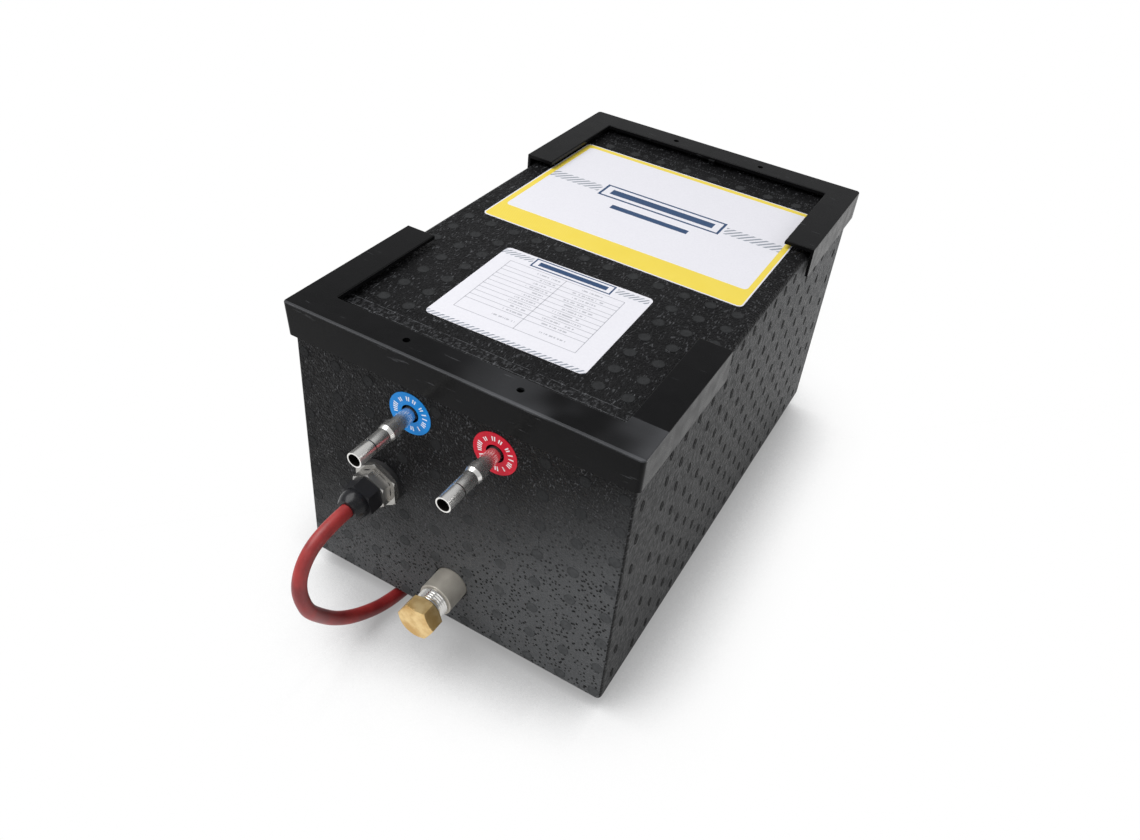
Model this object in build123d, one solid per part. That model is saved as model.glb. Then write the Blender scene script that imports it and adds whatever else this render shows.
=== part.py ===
from build123d import *
from math import ceil, cos, pi, radians, sin, sqrt, tan
import os

# An electric caravan water heater. Millimetres, +Z up. Seen from the front, where the pipes
# are, +X is to the right and +Y runs to the rear. The origin is under the middle of the
# housing, on the surface that it stands on.

# Foam housing: a sleeve with an end cap at each end, standing on three skids. Its insulation
# goes round the tank, so its overall size follows from the tank's.
side_insulation = 31.5
top_insulation = 24
rear_insulation = 59
foam_edge_radius = 4
cap_edge_radius = 2.5
front_cap_thickness = 34
rear_cap_thickness = 39
rear_lean = 4
spigot_gap = 0.4
front_spigot_depth = 8
skid_height = 12
skid_width = 22
skid_spacing = 78
skid_inset = 16
skid_edge_radius = 2

# Tank: a rolled stainless shell with a pressed head in each end
tank_width = 172
tank_height = 158
tank_corner_radius = 46
tank_length = 250
tank_wall = 1.2
tank_gap = 0.4
wiring_depth = 48
head_thickness = 1.5
head_rim = 14
head_edge_radius = 5
head_gap = 0.1

# Bracket over each end of the housing: an L in section, a U seen from above
bracket_side_gap = 1.6
bracket_arm = 120
bracket_skirt = 22.7
bracket_wall = 2.2
bracket_corner_radius = 3
bracket_inside_radius = 1
bracket_edge_radius = 0.8
flange_thickness = 3
flange_width = 22.5
flange_rise = 6.8
window_corner_radius = 1.5
front_bracket_gap = 1.1
front_bracket_shift = -1.1
front_bracket_toe_in = 2.4
rear_bracket_gap = 0.4
rear_bracket_toe_in = 0
post_diameter = 9
post_hole_diameter = 4.6
post_spacing = 77.5
post_edge_distance = 12.4
seat_gap = 0.1
gate_width = 5
gate_reach = 3.5
gate_thickness = 1.6

# Labels: a large and a small one on top, and a disc round each hose stub
label_thickness = 0.25
label_corner_radius = 4
large_label_width = 204
large_label_depth = 160
large_label_shift = 1.7
large_label_setback = 254.5
small_label_width = 112
small_label_depth = 98
small_label_shift = -1.4
small_label_setback = 97
small_label_turn = 1.2
disc_diameter = 30
disc_hole_diameter = 12.4

# Cold and hot pipes: 9.5 mm tube, swelled at the front into a stub for a 10 mm hose
pipe_spacing = 60.1
pipe_shift = -0.9
pipe_rise = 168.4
pipe_diameter = 9.5
pipe_wall = 0.8
stub_diameter = 10
pipe_hole_diameter = 13
pipe_into_tank = 20
pipe_fit = 0.05
dip_bend_radius = 16
dip_above_floor = 20
stub_reach = 49.5
bead_diameter = 11.7
bead_start = 15
bead_end = 21.5
bead_step = 0.6
taper_end = 24

# Drain: welded pipe and socket, screwed nipple and brass cap with its seal
drain_rise = 38
drain_shift = 0.3
drain_pipe_diameter = 16
drain_pipe_wall = 1.5
drain_into_tank = 6
drain_hole_diameter = 25.6
socket_diameter = 24
socket_sunk = 14
socket_reach = 17.5
socket_floor = 2
socket_edge_radius = 0.8
nipple_diameter = 20.9
nipple_bore = 13
nipple_sunk = 9
nipple_reach = 34.9
thread_pitch = 1.814
thread_depth = 0.9
thread_fit = 0.05
drain_cap_across = 24
drain_cap_start = 27.4
drain_cap_top = 2.5
drain_cap_chamfer = 1.1
drain_cap_fit = 0.1
drain_seal_thickness = 1.5
drain_seal_gap = 0.05

# Cable entry: a threaded conduit clamped through the front cap, and the gland on it
entry_shift = -55
entry_rise = 101
conduit_diameter = 25
conduit_bore = 18
conduit_hole_diameter = 25.6
conduit_flange_diameter = 36
conduit_flange_thickness = 3
gasket_diameter = 33
gasket_thickness = 3
gasket_fit = 0.1
locknut_across = 30.6
locknut_thickness = 3
locknut_chamfer = 0.6
locknut_turn = -28.5
adaptor_across = 24
adaptor_length = 7
adaptor_turn = -28.5
adaptor_chamfer = 0.6
adaptor_sunk = 14
adaptor_thread_diameter = 15.6
adaptor_thread_length = 7
gland_turn = -20.6
gland_across = 21.6
gland_gap = 0.1
gland_hex_length = 11
gland_dome_length = 9
gland_dome_diameter = 21
gland_mouth_diameter = 14.4
gland_dome_middle_diameter = 19.4
gland_chamfer = 0.7
gland_fit = 0.08
gland_bore = 10.2
gland_seal_diameter = 15.2
gland_seal_bore = 9.7
gland_seal_length = 3.6
gland_washer_thickness = 0.8
gland_washer_gap = 0.05

# Heating element, screwed into a boss on the tank's front head
element_shift = 34
element_rise = 84
boss_diameter = 46
boss_length = 9
element_thread_diameter = 33
element_fit = 0.1
element_gasket_thickness = 2
element_across = 38
element_head_length = 9
element_chamfer = 0.8
sheath_diameter = 8
sheath_spacing = 17
sheath_length = 200
tab_width = 6.3
tab_thickness = 0.8
tab_length = 8

# Thermostats, held to the head by one spring clip on a stud
thermostat_rise = 137
thermostat_shift = 12
thermostat_spacing = 38
thermostat_diameter = 24
thermostat_length = 11
thermostat_flange_diameter = 29
thermostat_flange_thickness = 2
thermostat_tab_spacing = 17
button_diameter = 5.6
button_proud = 3.4
button_travel = 2
button_sunk = 4
button_fit = 0.06
clip_width = 9
clip_thickness = 0.8
clip_length = 62
clip_hole_diameter = 7.5
clip_stud_diameter = 5
clip_stud_proud = 6
clip_nut_across = 8
clip_nut_thickness = 4

# Earth stud with its two nuts
earth_shift = -8
earth_rise = 100
earth_stud_diameter = 5
earth_stud_length = 13
earth_nut_across = 8
earth_nut_thickness = 4
earth_ring_diameter = 9
earth_ring_thickness = 1
stud_fit = 0.1

# Wires in the wiring space, and the push-on sleeves at their ends
wire_diameter = 2.8
wire_circle_radius = 2.2
sleeve_wall = 0.5
sleeve_gap = 0.1

# Mains cable, its coil and its plug
cable_diameter = 9.5
cable_inner_depth = 58
coil_radius = 56
coil_pitch = 12.4
coil_layer_gap = 0.9
coil_inward_half_turns = 2
coil_setback = 140
plug_diameter = 37
plug_body_length = 26
plug_taper_length = 16
plug_neck_diameter = 15
plug_neck_length = 12
plug_edge_radius = 2
plug_notch_width = 9
plug_notch_depth = 2.5
pin_diameter = 4.8
pin_length = 19
pin_spacing = 19
pin_tip_radius = 1.5

# One overrun serves every cut, and this share of a run goes into the bend beside it
overrun = 1
bend_share = 0.45

# Sizes and places worked out from the sizes above
foam_width = tank_width + 2 * side_insulation
foam_height = tank_height + 2 * top_insulation
foam_length = front_cap_thickness + wiring_depth + tank_length + rear_insulation
bracket_width = foam_width + 2 * (bracket_side_gap + bracket_wall)
front_y = -foam_length / 2
rear_y = foam_length / 2
under_z = skid_height
top_z = under_z + foam_height
mid_z = under_z + foam_height / 2
sleeve_front_y = front_y + front_cap_thickness
sleeve_rear_y = rear_y - rear_cap_thickness
chamber_front_y = sleeve_front_y + front_spigot_depth
tank_front_y = sleeve_front_y + wiring_depth
tank_rear_y = tank_front_y + tank_length
cavity_width = tank_width + 2 * tank_gap
cavity_height = tank_height + 2 * tank_gap
cavity_corner_radius = tank_corner_radius + tank_gap
cold_x = pipe_shift - pipe_spacing / 2
hot_x = pipe_shift + pipe_spacing / 2
pipe_z = under_z + pipe_rise
drain_z = under_z + drain_rise
entry_x = entry_shift
entry_z = under_z + entry_rise
element_z = under_z + element_rise
thermostat_z = under_z + thermostat_rise
control_x = thermostat_shift - thermostat_spacing / 2
safety_x = thermostat_shift + thermostat_spacing / 2
earth_z = under_z + earth_rise


def turned(points, x=0, z=0):
    """A round piece about an axis along Y, from its outline as (radius, y) points."""
    return Pos(x, 0, z) * revolve(make_face(Polyline(*points, close=True)), Axis.Y)


def bar_y(diameter, start, end, x=0, z=0):
    """A plain round bar along Y."""
    return turned([(0, start), (diameter / 2, start), (diameter / 2, end), (0, end)], x, z)


def ring_y(diameter, bore, start, end, x=0, z=0):
    """A plain round ring or tube along Y."""
    outer = diameter / 2
    inner = bore / 2
    return turned([(inner, start), (outer, start), (outer, end), (inner, end)], x, z)


def hex_y(across, start, end, x, z, corner_angle, chamfer_length):
    """A hexagon bar along Y, the corners of both its ends turned off."""
    outline = RegularPolygon(across / 2, 6, major_radius=False, rotation=-corner_angle)
    prism = Pos(x, start, z) * Rot(-90, 0, 0) * extrude(outline, end - start)
    corner = across / sqrt(3)
    face = corner - sqrt(3) * chamfer_length
    turned_bar = turned([(0, start), (face, start), (corner, start + chamfer_length),
                         (corner, end - chamfer_length), (face, end), (0, end)], x, z)
    return prism & turned_bar


def slab_y(width, height, corner_radius, start, end):
    """A block along Y with the housing's centre line and a rounded rectangle as its section."""
    outline = RectangleRounded(width, height, corner_radius)
    return Pos(0, start, mid_z) * Rot(-90, 0, 0) * extrude(outline, end - start)


def box_between(low, high):
    """A box from its lowest corner to its highest."""
    return Pos(*low) * Box(*[b - a for a, b in zip(low, high)], align=Align.MIN)


def bend_radii(points):
    """For each corner of a route, the radius that its two runs leave room for."""
    radii = []
    for before, here, after in zip(points, points[1:], points[2:]):
        run_in = Vector(*here) - Vector(*before)
        run_out = Vector(*after) - Vector(*here)
        half_turn = radians(run_in.get_angle(run_out)) / 2
        radii.append(bend_share * min(run_in.length, run_out.length) / tan(half_turn))
    return radii


def swept(path, diameter):
    """A round bar along a path."""
    return sweep(Plane(origin=path @ 0, z_dir=path % 0) * Circle(diameter / 2), path=path)


def routed(points, diameter):
    """A round bar along straight runs joined by tangent arcs."""
    return swept(FilletPolyline(*points, radius=bend_radii(points)), diameter)


# Foam housing. The sleeve holds the tank, and its underside carries the skids.
foam_sleeve = slab_y(foam_width, foam_height, foam_edge_radius, sleeve_front_y, sleeve_rear_y)
foam_sleeve -= slab_y(cavity_width, cavity_height, cavity_corner_radius,
                      sleeve_front_y - overrun, sleeve_rear_y + overrun)
for skid_x in (-skid_spacing, 0, skid_spacing):
    skid = box_between((skid_x - skid_width / 2, sleeve_front_y + skid_inset, 0),
                       (skid_x + skid_width / 2, sleeve_rear_y - skid_inset, under_z))
    skid = fillet(skid.faces().sort_by(Axis.Z)[0].edges(), skid_edge_radius)
    foam_sleeve += skid

# Front end cap, with a spigot in the sleeve and a hole for each pipe
spigot_width = cavity_width - 2 * spigot_gap
spigot_height = cavity_height - 2 * spigot_gap
spigot_corner_radius = cavity_corner_radius - spigot_gap
front_end_cap = slab_y(foam_width, foam_height, foam_edge_radius, front_y, sleeve_front_y)
front_end_cap = fillet(front_end_cap.faces().sort_by(Axis.Y)[0].edges(), cap_edge_radius)
front_end_cap += slab_y(spigot_width, spigot_height, spigot_corner_radius,
                        sleeve_front_y, chamber_front_y)
cap_holes = [
    (pipe_hole_diameter, cold_x, pipe_z),
    (pipe_hole_diameter, hot_x, pipe_z),
    (drain_hole_diameter, drain_shift, drain_z),
    (conduit_hole_diameter, entry_x, entry_z),
]
for hole_diameter, hole_x, hole_z in cap_holes:
    front_end_cap -= bar_y(hole_diameter, front_y - overrun, chamber_front_y + overrun,
                           hole_x, hole_z)

# Rear end cap. Its outer face leans towards the front, and its spigot reaches the tank.
rear_spigot_end_y = tank_rear_y + spigot_gap
rear_end_cap = slab_y(foam_width, foam_height, foam_edge_radius, sleeve_rear_y, rear_y)
leaning_waste = make_face(Polyline((rear_y, under_z), (rear_y - rear_lean, top_z),
                                   (rear_y + overrun, top_z), (rear_y + overrun, under_z),
                                   close=True))
leaning_waste = Plane(origin=(-foam_width / 2, 0, 0), x_dir=(0, 1, 0), z_dir=(1, 0, 0)) * leaning_waste
rear_end_cap -= extrude(leaning_waste, foam_width)
rear_end_cap = fillet(rear_end_cap.faces().sort_by(Axis.Y)[-1].edges(), cap_edge_radius)
rear_end_cap += slab_y(spigot_width, spigot_height, spigot_corner_radius,
                       rear_spigot_end_y, sleeve_rear_y)


# Brackets
def bracket_level(inset, lean, corner_radius, z):
    """The bracket's plan at one height, with its outer face on y=0 and its arms towards +Y."""
    left = -bracket_width / 2 + inset + lean
    right = bracket_width / 2 - inset
    arm_end = bracket_arm + (overrun if inset else 0)
    plan = make_face(Polyline((left, arm_end), (left, inset), (right, inset), (right, arm_end),
                              close=True))
    return Pos(0, 0, z) * fillet(plan.vertices().sort_by(Axis.Y)[:2], corner_radius)


def bracket(toe_in):
    """A bracket with its top on z=0, whose wall on the -X side leans in towards its lower edge."""
    outer = loft([bracket_level(0, toe_in, bracket_corner_radius, -bracket_skirt),
                  bracket_level(0, 0, bracket_corner_radius, 0)], ruled=True)
    inner = loft([bracket_level(bracket_wall, toe_in, bracket_inside_radius, -bracket_skirt),
                  bracket_level(bracket_wall, 0, bracket_inside_radius, 0)], ruled=True)
    window = extrude(bracket_level(flange_width, 0, window_corner_radius, -flange_thickness),
                     flange_thickness)
    flange_slab = box_between((-bracket_width, -overrun, -flange_thickness),
                              (bracket_width, bracket_arm + overrun, 0))
    piece = (outer - inner) + ((outer & flange_slab) - window)
    piece = fillet(piece.edges().group_by(Axis.Z)[-1], bracket_edge_radius)
    down = (Align.CENTER, Align.CENTER, Align.MAX)
    post_height = flange_rise - flange_thickness - seat_gap
    for post_x in (-post_spacing / 2, post_spacing / 2):
        piece += Pos(post_x, post_edge_distance, -flange_thickness) * Cylinder(
            post_diameter / 2, post_height, align=down)
    for post_x in (-post_spacing / 2, post_spacing / 2):
        piece -= Pos(post_x, post_edge_distance, overrun) * Cylinder(
            post_hole_diameter / 2, flange_rise + 2 * overrun, align=down)
    return piece


front_bracket_y = front_y - front_bracket_gap - bracket_wall
front_bracket = Pos(front_bracket_shift, front_bracket_y, top_z + flange_rise) * bracket(
    front_bracket_toe_in)

# The rear bracket is turned to face the rear. It keeps the stub of its moulding gate.
rear_skirt_low_z = top_z + flange_rise - bracket_skirt
rear_face_at_skirt_y = rear_y - rear_lean * (rear_skirt_low_z - under_z) / foam_height
rear_bracket_y = rear_face_at_skirt_y + rear_bracket_gap + bracket_wall
gate = box_between((-gate_width / 2, flange_width - overrun, -flange_thickness),
                   (gate_width / 2, flange_width + gate_reach, gate_thickness - flange_thickness))
rear_bracket = Pos(0, rear_bracket_y, top_z + flange_rise) * Rot(0, 0, 180) * (
    bracket(rear_bracket_toe_in) + gate)

# Labels
large_label = Pos(large_label_shift, front_y + large_label_setback, top_z) * extrude(
    RectangleRounded(large_label_width, large_label_depth, label_corner_radius), label_thickness)
small_label = Pos(small_label_shift, front_y + small_label_setback, top_z) * Rot(
    0, 0, small_label_turn) * extrude(
    RectangleRounded(small_label_width, small_label_depth, label_corner_radius), label_thickness)
cold_disc = ring_y(disc_diameter, disc_hole_diameter, front_y - label_thickness, front_y,
                   cold_x, pipe_z)
hot_disc = ring_y(disc_diameter, disc_hole_diameter, front_y - label_thickness, front_y,
                  hot_x, pipe_z)

# Tank shell and heads. The front head has a hole for each pipe and carries the element's boss.
tank_shell = slab_y(tank_width, tank_height, tank_corner_radius, tank_front_y, tank_rear_y)
tank_shell -= slab_y(tank_width - 2 * tank_wall, tank_height - 2 * tank_wall,
                     tank_corner_radius - tank_wall, tank_front_y - overrun, tank_rear_y + overrun)


def tank_head():
    """A pressed pan with its plate at y=0 and its rim towards +Y."""
    inset = tank_wall + head_gap
    outer = slab_y(tank_width - 2 * inset, tank_height - 2 * inset, tank_corner_radius - inset,
                   0, head_rim)
    outer = fillet(outer.faces().sort_by(Axis.Y)[0].edges(), head_edge_radius)
    inset += head_thickness
    inner = slab_y(tank_width - 2 * inset, tank_height - 2 * inset, tank_corner_radius - inset,
                   head_thickness, head_rim + overrun)
    inner = fillet(inner.faces().sort_by(Axis.Y)[0].edges(), head_edge_radius - head_thickness)
    return outer - inner


boss_front_y = tank_front_y - boss_length
tank_front_head = Pos(0, tank_front_y, 0) * tank_head()
tank_front_head += bar_y(boss_diameter, boss_front_y, tank_front_y, element_shift, element_z)
head_holes = [
    (pipe_diameter + 2 * pipe_fit, cold_x, pipe_z),
    (pipe_diameter + 2 * pipe_fit, hot_x, pipe_z),
    (drain_pipe_diameter + 2 * pipe_fit, drain_shift, drain_z),
    (element_thread_diameter + 2 * element_fit, element_shift, element_z),
]
for hole_diameter, hole_x, hole_z in head_holes:
    tank_front_head -= bar_y(hole_diameter, boss_front_y - overrun,
                             tank_front_y + head_thickness + overrun, hole_x, hole_z)
tank_rear_head = Pos(0, tank_rear_y, 0) * mirror(tank_head(), Plane.XZ)


# Cold and hot pipes
def hose_stub(x):
    """The formed end of a pipe, solid, from its mouth to the housing's front face."""
    pipe_radius = pipe_diameter / 2
    stub_radius = stub_diameter / 2
    bead_radius = bead_diameter / 2
    profile = [(0, 0), (pipe_radius, 0), (pipe_radius, bead_start),
               (bead_radius, bead_start + bead_step), (bead_radius, bead_end),
               (stub_radius, taper_end), (stub_radius, stub_reach), (0, stub_reach)]
    return turned([(radius, front_y - out) for radius, out in profile], x, pipe_z)


stub_mouth_y = front_y - stub_reach
pipe_end_y = tank_front_y + pipe_into_tank
pipe_bore = pipe_diameter - 2 * pipe_wall
hot_outlet_tube = hose_stub(hot_x) + bar_y(pipe_diameter, front_y, pipe_end_y, hot_x, pipe_z)
hot_outlet_tube -= bar_y(pipe_bore, stub_mouth_y - overrun, pipe_end_y + overrun, hot_x, pipe_z)

# The cold pipe turns down inside the tank and ends just above its floor
dip_end_z = mid_z - tank_height / 2 + dip_above_floor
dip_y = pipe_end_y + dip_bend_radius
dip_route = [(cold_x, front_y, pipe_z), (cold_x, dip_y, pipe_z), (cold_x, dip_y, dip_end_z)]
dip_path = FilletPolyline(*dip_route, radius=dip_bend_radius)
cold_inlet_tube = hose_stub(cold_x) + swept(dip_path, pipe_diameter)
cold_inlet_tube -= swept(dip_path, pipe_bore)
cold_inlet_tube -= bar_y(pipe_bore, stub_mouth_y - overrun, front_y, cold_x, pipe_z)

# Drain pipe welded to its socket
socket_front_y = front_y - socket_reach
socket_back_y = front_y + socket_sunk
nipple_back_y = front_y - socket_reach + nipple_sunk
drain_end_y = tank_front_y + drain_into_tank
socket_bore = nipple_diameter + 2 * thread_fit
drain_socket = bar_y(socket_diameter, socket_front_y, socket_back_y, drain_shift, drain_z)
drain_socket = fillet(drain_socket.faces().sort_by(Axis.Y)[0].edges(), socket_edge_radius)
drain_socket += bar_y(drain_pipe_diameter, socket_back_y, drain_end_y, drain_shift, drain_z)
drain_socket -= bar_y(socket_bore, socket_front_y - overrun, socket_back_y - socket_floor,
                      drain_shift, drain_z)
drain_socket -= bar_y(drain_pipe_diameter - 2 * drain_pipe_wall, socket_front_y,
                      drain_end_y + overrun, drain_shift, drain_z)

# Threaded nipple, its thread as rings of the thread's pitch
nipple_front_y = front_y - nipple_reach
drain_nipple = ring_y(nipple_diameter, nipple_bore, nipple_front_y, nipple_back_y,
                      drain_shift, drain_z)
thread_count = int((nipple_reach - socket_reach) / thread_pitch)
for thread in range(thread_count):
    groove_y = nipple_front_y + (thread + 0.5) * thread_pitch
    crest = nipple_diameter / 2
    drain_nipple -= turned([(crest + thread_depth, groove_y - thread_pitch),
                            (crest - thread_depth, groove_y),
                            (crest + thread_depth, groove_y + thread_pitch)],
                           drain_shift, drain_z)

# Brass cap and its seal. The cap is fully screwed on, tight on the seal.
drain_cap_inner_y = nipple_front_y - drain_seal_thickness - 2 * drain_seal_gap
drain_cap_front_y = drain_cap_inner_y - drain_cap_top
drain_cap_bore = nipple_diameter + 2 * drain_cap_fit
drain_cap = hex_y(drain_cap_across, drain_cap_front_y, front_y - drain_cap_start, drain_shift,
                  drain_z, 0, drain_cap_chamfer)
drain_cap -= bar_y(drain_cap_bore, drain_cap_inner_y, front_y, drain_shift, drain_z)
drain_seal = ring_y(nipple_diameter, nipple_bore, drain_cap_inner_y + drain_seal_gap,
                    nipple_front_y - drain_seal_gap, drain_shift, drain_z)

# Cable entry. The conduit's flange bears on the back of the front cap's spigot.
gasket_front_y = front_y - gasket_thickness
locknut_front_y = gasket_front_y - locknut_thickness
conduit = ring_y(conduit_diameter, conduit_bore, locknut_front_y, chamber_front_y,
                 entry_x, entry_z)
conduit += ring_y(conduit_flange_diameter, conduit_bore, chamber_front_y,
                  chamber_front_y + conduit_flange_thickness, entry_x, entry_z)
entry_gasket = ring_y(gasket_diameter, conduit_diameter + 2 * gasket_fit, gasket_front_y, front_y,
                      entry_x, entry_z)
entry_locknut = hex_y(locknut_across, locknut_front_y, gasket_front_y, entry_x, entry_z,
                      locknut_turn, locknut_chamfer)
entry_locknut -= bar_y(conduit_diameter + 2 * thread_fit, locknut_front_y - overrun, front_y,
                       entry_x, entry_z)

# Adaptor in the conduit, with a thread for the gland nut
adaptor_front_y = locknut_front_y - adaptor_length
adaptor_end_y = adaptor_front_y - adaptor_thread_length
gland_adaptor = hex_y(adaptor_across, adaptor_front_y, locknut_front_y, entry_x, entry_z,
                      adaptor_turn, adaptor_chamfer)
gland_adaptor += bar_y(conduit_bore - 2 * thread_fit, locknut_front_y,
                       locknut_front_y + adaptor_sunk, entry_x, entry_z)
gland_adaptor += bar_y(adaptor_thread_diameter, adaptor_end_y, adaptor_front_y, entry_x, entry_z)
gland_adaptor -= bar_y(gland_bore, adaptor_end_y - overrun,
                       locknut_front_y + adaptor_sunk + overrun, entry_x, entry_z)

# Gland nut: a hexagon with a dome, over the seal that grips the cable. A slip washer between
# the two lets the nut turn while the seal stays.
gland_seal_y = adaptor_end_y - gland_gap
gland_seal = ring_y(gland_seal_diameter, gland_seal_bore, gland_seal_y - gland_seal_length,
                    gland_seal_y, entry_x, entry_z)
gland_washer_y = gland_seal_y - gland_seal_length - gland_washer_gap
gland_washer = ring_y(gland_seal_diameter, gland_bore, gland_washer_y - gland_washer_thickness,
                      gland_washer_y, entry_x, entry_z)
gland_back_y = adaptor_front_y - gland_gap
gland_shoulder_y = gland_back_y - gland_hex_length
gland_mouth_y = gland_shoulder_y - gland_dome_length
gland_nut = hex_y(gland_across, gland_shoulder_y, gland_back_y, entry_x, entry_z, gland_turn,
                  gland_chamfer)
dome_arc = ThreePointArc((gland_dome_diameter / 2, gland_shoulder_y),
                         (gland_dome_middle_diameter / 2, (gland_shoulder_y + gland_mouth_y) / 2),
                         (gland_mouth_diameter / 2, gland_mouth_y))
dome_back = Polyline((gland_mouth_diameter / 2, gland_mouth_y), (0, gland_mouth_y),
                     (0, gland_shoulder_y), (gland_dome_diameter / 2, gland_shoulder_y))
gland_nut += Pos(entry_x, 0, entry_z) * revolve(make_face([dome_arc, dome_back]), Axis.Y)
gland_nut -= bar_y(adaptor_thread_diameter + 2 * gland_fit,
                   gland_washer_y - gland_washer_thickness - gland_washer_gap, adaptor_front_y,
                   entry_x, entry_z)
gland_nut -= bar_y(gland_bore, gland_mouth_y - overrun, gland_back_y, entry_x, entry_z)

# Heating element: gasket, hexagon head with its thread, and the sheath as one long loop
element_gasket = ring_y(boss_diameter, element_thread_diameter + 2 * element_fit,
                        boss_front_y - element_gasket_thickness, boss_front_y,
                        element_shift, element_z)
element_seat_y = boss_front_y - element_gasket_thickness
element_face_y = element_seat_y - element_head_length
element_thread_end_y = tank_front_y + head_thickness
heating_element = hex_y(element_across, element_face_y, element_seat_y, element_shift,
                        element_z, 0, element_chamfer)
heating_element += bar_y(element_thread_diameter, element_seat_y, element_thread_end_y,
                         element_shift, element_z)
loop_radius = sheath_spacing / 2
loop_y = element_thread_end_y + sheath_length - loop_radius
sheath_path = (Line((element_shift - loop_radius, element_thread_end_y, element_z),
                    (element_shift - loop_radius, loop_y, element_z))
               + ThreePointArc((element_shift - loop_radius, loop_y, element_z),
                               (element_shift, loop_y + loop_radius, element_z),
                               (element_shift + loop_radius, loop_y, element_z))
               + Line((element_shift + loop_radius, loop_y, element_z),
                      (element_shift + loop_radius, element_thread_end_y, element_z)))
heating_element += swept(sheath_path, sheath_diameter)
element_tab_xs = (element_shift - loop_radius, element_shift + loop_radius)
for tab_x in element_tab_xs:
    heating_element += box_between(
        (tab_x - tab_thickness / 2, element_face_y - tab_length, element_z - tab_width / 2),
        (tab_x + tab_thickness / 2, element_face_y, element_z + tab_width / 2))

# Thermostats: a flanged can each, with a tab above and below the clip
thermostat_face_y = tank_front_y - thermostat_flange_thickness - thermostat_length
upper_tab_z = thermostat_z + thermostat_tab_spacing / 2
lower_tab_z = thermostat_z - thermostat_tab_spacing / 2


def thermostat(x):
    """A thermostat seated on the tank's front head."""
    piece = bar_y(thermostat_flange_diameter, tank_front_y - thermostat_flange_thickness,
                  tank_front_y, x, thermostat_z)
    piece += bar_y(thermostat_diameter, thermostat_face_y, tank_front_y, x, thermostat_z)
    for tab_z in (lower_tab_z, upper_tab_z):
        piece += box_between(
            (x - tab_width / 2, thermostat_face_y - tab_length, tab_z - tab_thickness / 2),
            (x + tab_width / 2, thermostat_face_y, tab_z + tab_thickness / 2))
    return piece


control_thermostat = thermostat(control_x)
safety_cutout = thermostat(safety_x)
button_end_y = thermostat_face_y + button_sunk
safety_cutout -= bar_y(button_diameter + 2 * button_fit, thermostat_face_y - overrun,
                       button_end_y + button_travel + button_fit, safety_x, thermostat_z)
reset_button = bar_y(button_diameter, thermostat_face_y - clip_thickness - button_proud,
                     button_end_y, safety_x, thermostat_z)

# Spring clip across both thermostats, and the welded stud and nut that hold it
clip_front_y = thermostat_face_y - clip_thickness
thermostat_clip = box_between(
    (thermostat_shift - clip_length / 2, clip_front_y, thermostat_z - clip_width / 2),
    (thermostat_shift + clip_length / 2, thermostat_face_y, thermostat_z + clip_width / 2))
for hole_diameter, hole_x in ((clip_hole_diameter, safety_x),
                              (clip_stud_diameter + 2 * stud_fit, thermostat_shift)):
    thermostat_clip -= bar_y(hole_diameter, clip_front_y - overrun, thermostat_face_y + overrun,
                             hole_x, thermostat_z)
clip_stud = bar_y(clip_stud_diameter, clip_front_y - clip_stud_proud, tank_front_y,
                  thermostat_shift, thermostat_z)
clip_nut = hex_y(clip_nut_across, clip_front_y - clip_nut_thickness, clip_front_y,
                 thermostat_shift, thermostat_z, 0, tab_thickness / 2)
clip_nut -= bar_y(clip_stud_diameter + 2 * stud_fit, clip_front_y - 2 * clip_nut_thickness,
                  thermostat_face_y, thermostat_shift, thermostat_z)

# Earth stud, with the wire's ring held between two nuts
earth_stud = bar_y(earth_stud_diameter, tank_front_y - earth_stud_length, tank_front_y,
                   earth_shift, earth_z)
ring_back_y = tank_front_y - earth_nut_thickness
ring_front_y = ring_back_y - earth_ring_thickness
earth_nuts = []
for nut_back_y in (tank_front_y, ring_front_y):
    nut = hex_y(earth_nut_across, nut_back_y - earth_nut_thickness, nut_back_y, earth_shift,
                earth_z, 0, tab_thickness / 2)
    earth_nuts.append(nut - bar_y(earth_stud_diameter + 2 * stud_fit,
                                  nut_back_y - earth_nut_thickness - overrun,
                                  nut_back_y + overrun, earth_shift, earth_z))

# Mains cable from the wiring space to the gland's mouth
cable_end_y = front_y + cable_inner_depth
cable_inner = bar_y(cable_diameter, gland_mouth_y, cable_end_y, entry_x, entry_z)


# Wires. Each leaves the cable's end, and each sleeve goes over a tab and takes its wire sideways.
def core(angle):
    """Where one of the cable's wires leaves its end."""
    return (entry_x + wire_circle_radius * cos(radians(angle)), cable_end_y,
            entry_z + wire_circle_radius * sin(radians(angle)))


sleeve_half_width = tab_width / 2 + sleeve_gap + sleeve_wall
sleeve_half_thickness = tab_thickness / 2 + sleeve_gap + 2 * sleeve_wall


def tab_sleeve(x, z, face_y, upright):
    """A push-on sleeve over a tab, with its slot open towards the tab's root."""
    half_x = sleeve_half_thickness if upright else sleeve_half_width
    half_z = sleeve_half_width if upright else sleeve_half_thickness
    slot_x = (tab_thickness if upright else tab_width) / 2 + sleeve_gap
    slot_z = (tab_width if upright else tab_thickness) / 2 + sleeve_gap
    back_y = face_y - clip_thickness
    front = face_y - tab_length - sleeve_gap
    body = box_between((x - half_x, front - sleeve_wall, z - half_z), (x + half_x, back_y, z + half_z))
    return body - box_between((x - slot_x, front, z - slot_z), (x + slot_x, face_y, z + slot_z))


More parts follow.
